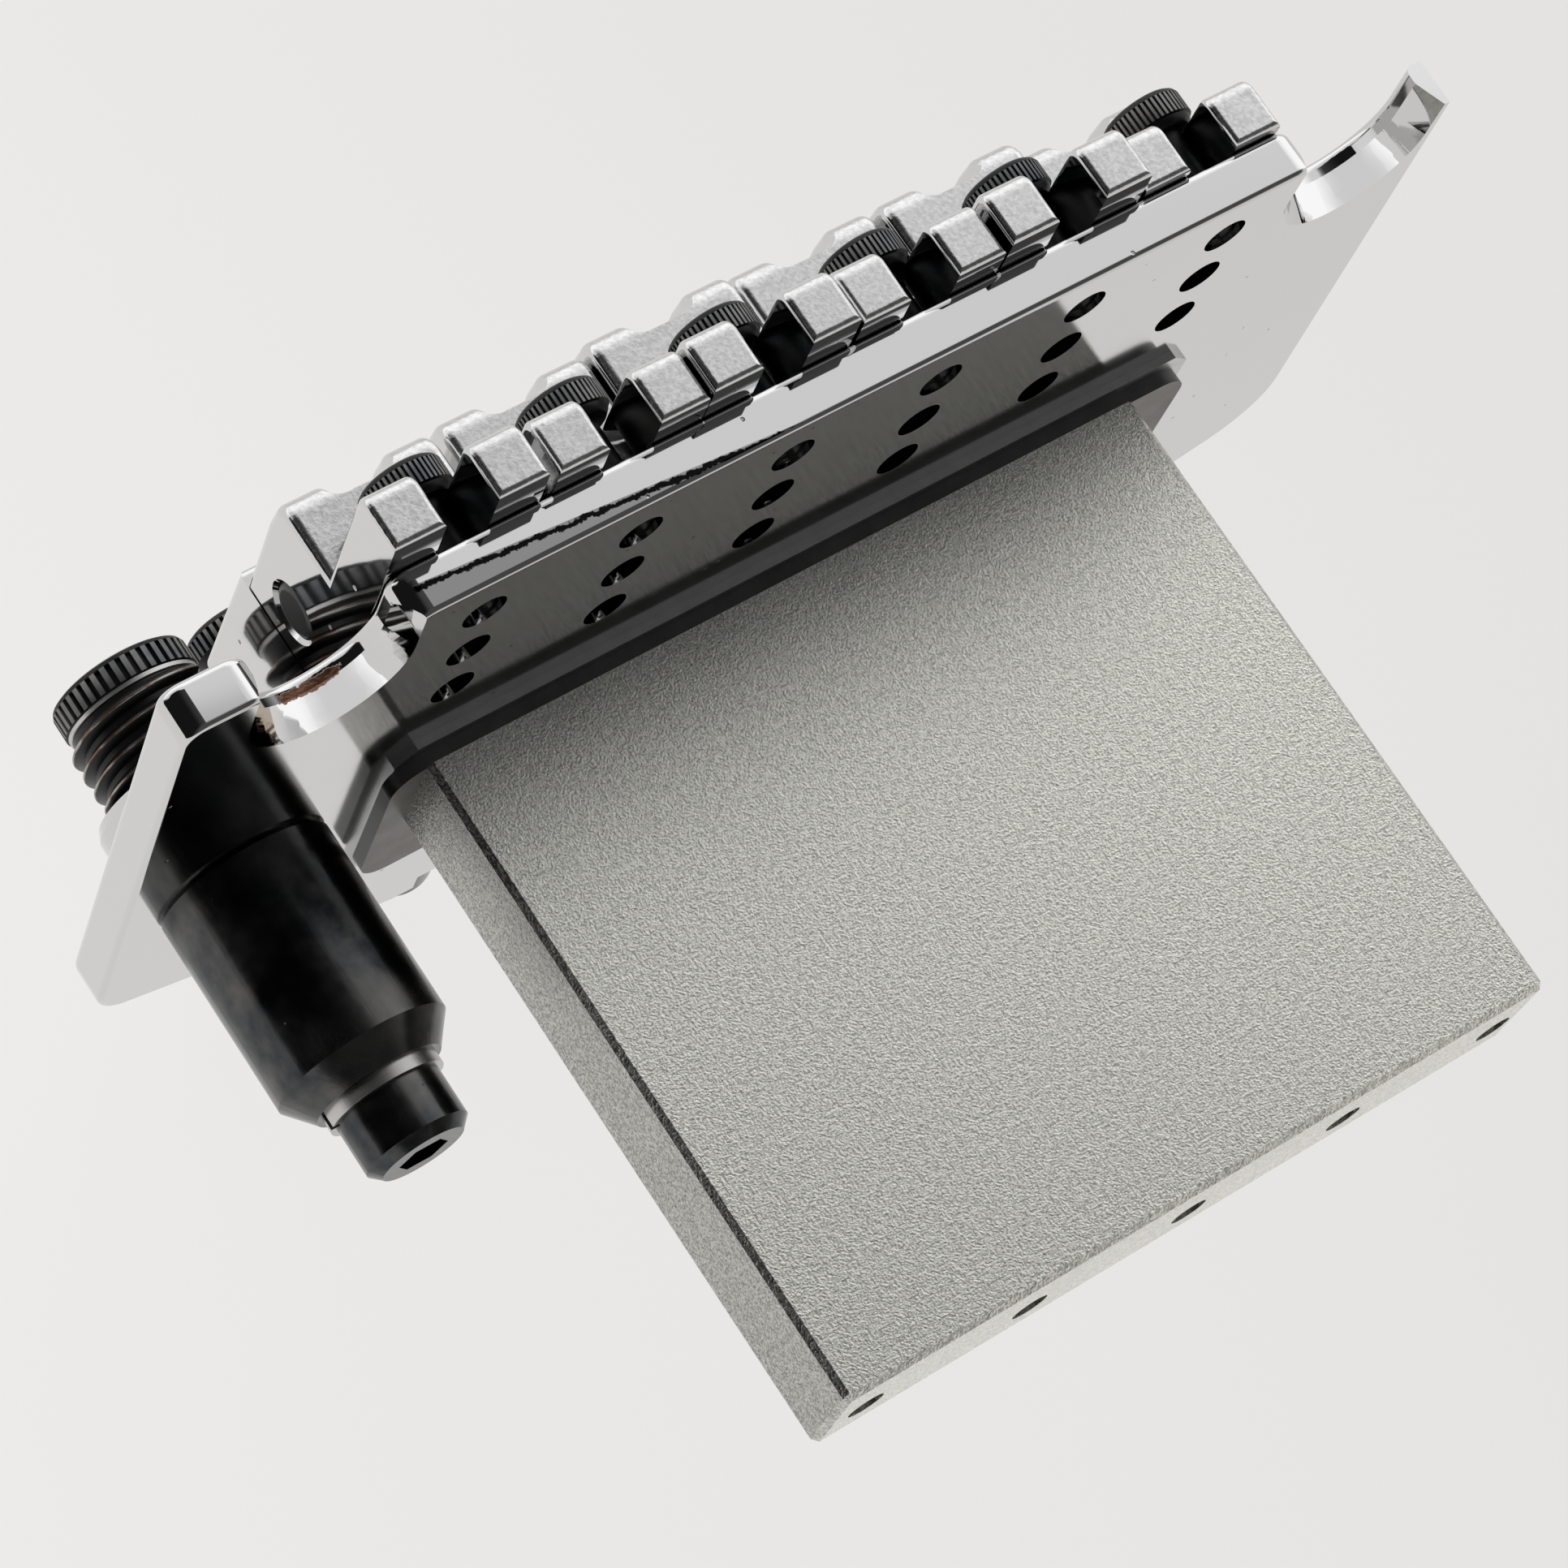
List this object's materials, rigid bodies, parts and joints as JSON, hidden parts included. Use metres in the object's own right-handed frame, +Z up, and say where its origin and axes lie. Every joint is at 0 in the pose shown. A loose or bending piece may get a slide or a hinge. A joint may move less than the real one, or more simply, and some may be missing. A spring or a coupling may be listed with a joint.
{
  "type": "guitar tremolo bridge",
  "caption": "Double-locking guitar tremolo bridge: knife-edge base plate, string saddles with locking levers and fine tuners, sustain block and threaded arm socket.",
  "frame": {"origin": "midpoint between the two stud axes, on the underside of the base plate", "axes": "+X to the treble (arm) side, +Y to the neck, +Z up out of the guitar's top"},
  "size_m": [0.0921, 0.0732, 0.0649],
  "materials": {
    "plate_chrome": "polished chrome plating, lightly pitted",
    "saddle_chrome": "chrome plating over a cast body, satin front",
    "lever_chrome": "chrome plating over a cast body",
    "shim_chrome": "sheared plated sheet",
    "spacer_black": "matt black",
    "blasted_silver": "sand-blasted light silver",
    "black_oxide": "black oxide, slightly oily",
    "thread_black": "black finish, worn on the crests",
    "pin_steel": "dark ground pin",
    "insert_steel": "hardened steel",
    "washer_steel": "zinc-plated steel",
    "spring_steel": "blued to bare spring steel"
  },
  "bodies": {
    "base": {"base_plate": "plate_chrome", "block_shim": "shim_chrome", "block_spacer": "spacer_black", "sustain_block": "blasted_silver", "hold_down_screws": "black_oxide", "block_screws": "black_oxide", "spring_screws": "spring_steel", "arm_socket": "thread_black", "arm_nut": "plate_chrome", "lock_sleeve": "thread_black", "lock_washer": "washer_steel", "cap_screw": "black_oxide", "leaf_spring_1": "spring_steel", "leaf_spring_2": "spring_steel", "leaf_spring_3": "spring_steel", "leaf_spring_4": "spring_steel", "leaf_spring_5": "spring_steel", "leaf_spring_6": "spring_steel"},
    "torque_collar": {"torque_collar": "black_oxide"},
    "saddle_1": {"saddle_1": "saddle_chrome", "pivot_pin_1": "pin_steel"},
    "lever_1": {"lever_1": "lever_chrome"},
    "lock_screw_1": {"lock_screw_1": "black_oxide"},
    "clamp_insert_1": {"clamp_insert_1": "insert_steel"},
    "fine_tuner_1": {"fine_tuner_1": "black_oxide"},
    "saddle_2": {"saddle_2": "saddle_chrome", "pivot_pin_2": "pin_steel"},
    "lever_2": {"lever_2": "lever_chrome"},
    "lock_screw_2": {"lock_screw_2": "black_oxide"},
    "clamp_insert_2": {"clamp_insert_2": "insert_steel"},
    "fine_tuner_2": {"fine_tuner_2": "black_oxide"},
    "saddle_3": {"saddle_3": "saddle_chrome", "pivot_pin_3": "pin_steel"},
    "lever_3": {"lever_3": "lever_chrome"},
    "lock_screw_3": {"lock_screw_3": "black_oxide"},
    "clamp_insert_3": {"clamp_insert_3": "insert_steel"},
    "fine_tuner_3": {"fine_tuner_3": "black_oxide"},
    "saddle_4": {"saddle_4": "saddle_chrome", "pivot_pin_4": "pin_steel"},
    "lever_4": {"lever_4": "lever_chrome"},
    "lock_screw_4": {"lock_screw_4": "black_oxide"},
    "clamp_insert_4": {"clamp_insert_4": "insert_steel"},
    "fine_tuner_4": {"fine_tuner_4": "black_oxide"},
    "saddle_5": {"saddle_5": "saddle_chrome", "pivot_pin_5": "pin_steel"},
    "lever_5": {"lever_5": "lever_chrome"},
    "lock_screw_5": {"lock_screw_5": "black_oxide"},
    "clamp_insert_5": {"clamp_insert_5": "insert_steel"},
    "fine_tuner_5": {"fine_tuner_5": "black_oxide"},
    "saddle_6": {"saddle_6": "saddle_chrome", "pivot_pin_6": "pin_steel"},
    "lever_6": {"lever_6": "lever_chrome"},
    "lock_screw_6": {"lock_screw_6": "black_oxide"},
    "clamp_insert_6": {"clamp_insert_6": "insert_steel"},
    "fine_tuner_6": {"fine_tuner_6": "black_oxide"}
  },
  "joints": [
    {"name": "saddle_slide_1", "type": "slide", "parent": "base", "child": "saddle_1", "axis": [0, 1, 0], "range_m": [-0.002, 0.0006]},
    {"name": "fine_tuner_slide_1", "type": "slide", "parent": "base", "child": "fine_tuner_1", "axis": [0, 0, -1], "range_m": [-0.001, 0.001]},
    {"name": "lever_tilt_1", "type": "hinge", "parent": "saddle_1", "child": "lever_1", "pos_m": [0.0274, -0.01105, 0.0087], "axis": [1, 0, 0], "range_deg": [-2.6, 2.6], "deforming": ["leaf_spring_1"]},
    {"name": "lock_screw_slide_1", "type": "slide", "parent": "lever_1", "child": "lock_screw_1", "axis": [0, 1, 0], "range_m": [-0.0015, 0.0018]},
    {"name": "insert_slide_1", "type": "slide", "parent": "lever_1", "child": "clamp_insert_1", "axis": [0, 1, 0], "range_m": [-0.0015, 0.0018]},
    {"name": "saddle_slide_2", "type": "slide", "parent": "base", "child": "saddle_2", "axis": [0, 1, 0], "range_m": [-0.002, 0.0012]},
    {"name": "fine_tuner_slide_2", "type": "slide", "parent": "base", "child": "fine_tuner_2", "axis": [0, 0, -1], "range_m": [-0.001, 0.001]},
    {"name": "lever_tilt_2", "type": "hinge", "parent": "saddle_2", "child": "lever_2", "pos_m": [0.01615, -0.01185, 0.0087], "axis": [1, 0, 0], "range_deg": [-2.6, 2.6], "deforming": ["leaf_spring_2"]},
    {"name": "lock_screw_slide_2", "type": "slide", "parent": "lever_2", "child": "lock_screw_2", "axis": [0, 1, 0], "range_m": [-0.0015, 0.0018]},
    {"name": "insert_slide_2", "type": "slide", "parent": "lever_2", "child": "clamp_insert_2", "axis": [0, 1, 0], "range_m": [-0.0015, 0.0018]},
    {"name": "saddle_slide_3", "type": "slide", "parent": "base", "child": "saddle_3", "axis": [0, 1, 0], "range_m": [-0.002, 0.0007]},
    {"name": "fine_tuner_slide_3", "type": "slide", "parent": "base", "child": "fine_tuner_3", "axis": [0, 0, -1], "range_m": [-0.001, 0.001]},
    {"name": "lever_tilt_3", "type": "hinge", "parent": "saddle_3", "child": "lever_3", "pos_m": [0.00565, -0.01115, 0.0087], "axis": [1, 0, 0], "range_deg": [-2.6, 2.6], "deforming": ["leaf_spring_3"]},
    {"name": "lock_screw_slide_3", "type": "slide", "parent": "lever_3", "child": "lock_screw_3", "axis": [0, 1, 0], "range_m": [-0.0015, 0.0018]},
    {"name": "insert_slide_3", "type": "slide", "parent": "lever_3", "child": "clamp_insert_3", "axis": [0, 1, 0], "range_m": [-0.0015, 0.0018]},
    {"name": "saddle_slide_4", "type": "slide", "parent": "base", "child": "saddle_4", "axis": [0, 1, 0], "range_m": [-0.002, 0.0012]},
    {"name": "fine_tuner_slide_4", "type": "slide", "parent": "base", "child": "fine_tuner_4", "axis": [0, 0, -1], "range_m": [-0.001, 0.001]},
    {"name": "lever_tilt_4", "type": "hinge", "parent": "saddle_4", "child": "lever_4", "pos_m": [-0.00515, -0.01205, 0.0087], "axis": [1, 0, 0], "range_deg": [-2.6, 2.6], "deforming": ["leaf_spring_4"]},
    {"name": "lock_screw_slide_4", "type": "slide", "parent": "lever_4", "child": "lock_screw_4", "axis": [0, 1, 0], "range_m": [-0.0015, 0.0018]},
    {"name": "insert_slide_4", "type": "slide", "parent": "lever_4", "child": "clamp_insert_4", "axis": [0, 1, 0], "range_m": [-0.0015, 0.0018]},
    {"name": "saddle_slide_5", "type": "slide", "parent": "base", "child": "saddle_5", "axis": [0, 1, 0], "range_m": [-0.002, 0.0008]},
    {"name": "fine_tuner_slide_5", "type": "slide", "parent": "base", "child": "fine_tuner_5", "axis": [0, 0, -1], "range_m": [-0.001, 0.001]},
    {"name": "lever_tilt_5", "type": "hinge", "parent": "saddle_5", "child": "lever_5", "pos_m": [-0.0158, -0.01125, 0.0087], "axis": [1, 0, 0], "range_deg": [-2.6, 2.6], "deforming": ["leaf_spring_5"]},
    {"name": "lock_screw_slide_5", "type": "slide", "parent": "lever_5", "child": "lock_screw_5", "axis": [0, 1, 0], "range_m": [-0.0015, 0.0018]},
    {"name": "insert_slide_5", "type": "slide", "parent": "lever_5", "child": "clamp_insert_5", "axis": [0, 1, 0], "range_m": [-0.0015, 0.0018]},
    {"name": "saddle_slide_6", "type": "slide", "parent": "base", "child": "saddle_6", "axis": [0, 1, 0], "range_m": [-0.002, 0.0012]},
    {"name": "fine_tuner_slide_6", "type": "slide", "parent": "base", "child": "fine_tuner_6", "axis": [0, 0, -1], "range_m": [-0.001, 0.001]},
    {"name": "lever_tilt_6", "type": "hinge", "parent": "saddle_6", "child": "lever_6", "pos_m": [-0.0266, -0.01365, 0.0087], "axis": [1, 0, 0], "range_deg": [-2.6, 2.6], "deforming": ["leaf_spring_6"]},
    {"name": "lock_screw_slide_6", "type": "slide", "parent": "lever_6", "child": "lock_screw_6", "axis": [0, 1, 0], "range_m": [-0.0015, 0.0018]},
    {"name": "insert_slide_6", "type": "slide", "parent": "lever_6", "child": "clamp_insert_6", "axis": [0, 1, 0], "range_m": [-0.0015, 0.0018]},
    {"name": "torque_collar_turn", "type": "hinge", "parent": "base", "child": "torque_collar", "pos_m": [0.039, -0.025, 0.0135], "axis": [0, 0, 1], "continuous": true}
  ],
  "couplings": [
    {"joint": "lever_tilt_1", "follows": "fine_tuner_slide_1", "rad_per_m": 40.404},
    {"joint": "insert_slide_1", "follows": "lock_screw_slide_1", "ratio": 1},
    {"joint": "lever_tilt_2", "follows": "fine_tuner_slide_2", "rad_per_m": 41.754},
    {"joint": "insert_slide_2", "follows": "lock_screw_slide_2", "ratio": 1},
    {"joint": "lever_tilt_3", "follows": "fine_tuner_slide_3", "rad_per_m": 40.568},
    {"joint": "insert_slide_3", "follows": "lock_screw_slide_3", "ratio": 1},
    {"joint": "lever_tilt_4", "follows": "fine_tuner_slide_4", "rad_per_m": 42.105},
    {"joint": "insert_slide_4", "follows": "lock_screw_slide_4", "ratio": 1},
    {"joint": "lever_tilt_5", "follows": "fine_tuner_slide_5", "rad_per_m": 40.733},
    {"joint": "insert_slide_5", "follows": "lock_screw_slide_5", "ratio": 1},
    {"joint": "lever_tilt_6", "follows": "fine_tuner_slide_6", "rad_per_m": 45.147},
    {"joint": "insert_slide_6", "follows": "lock_screw_slide_6", "ratio": 1}
  ]
}
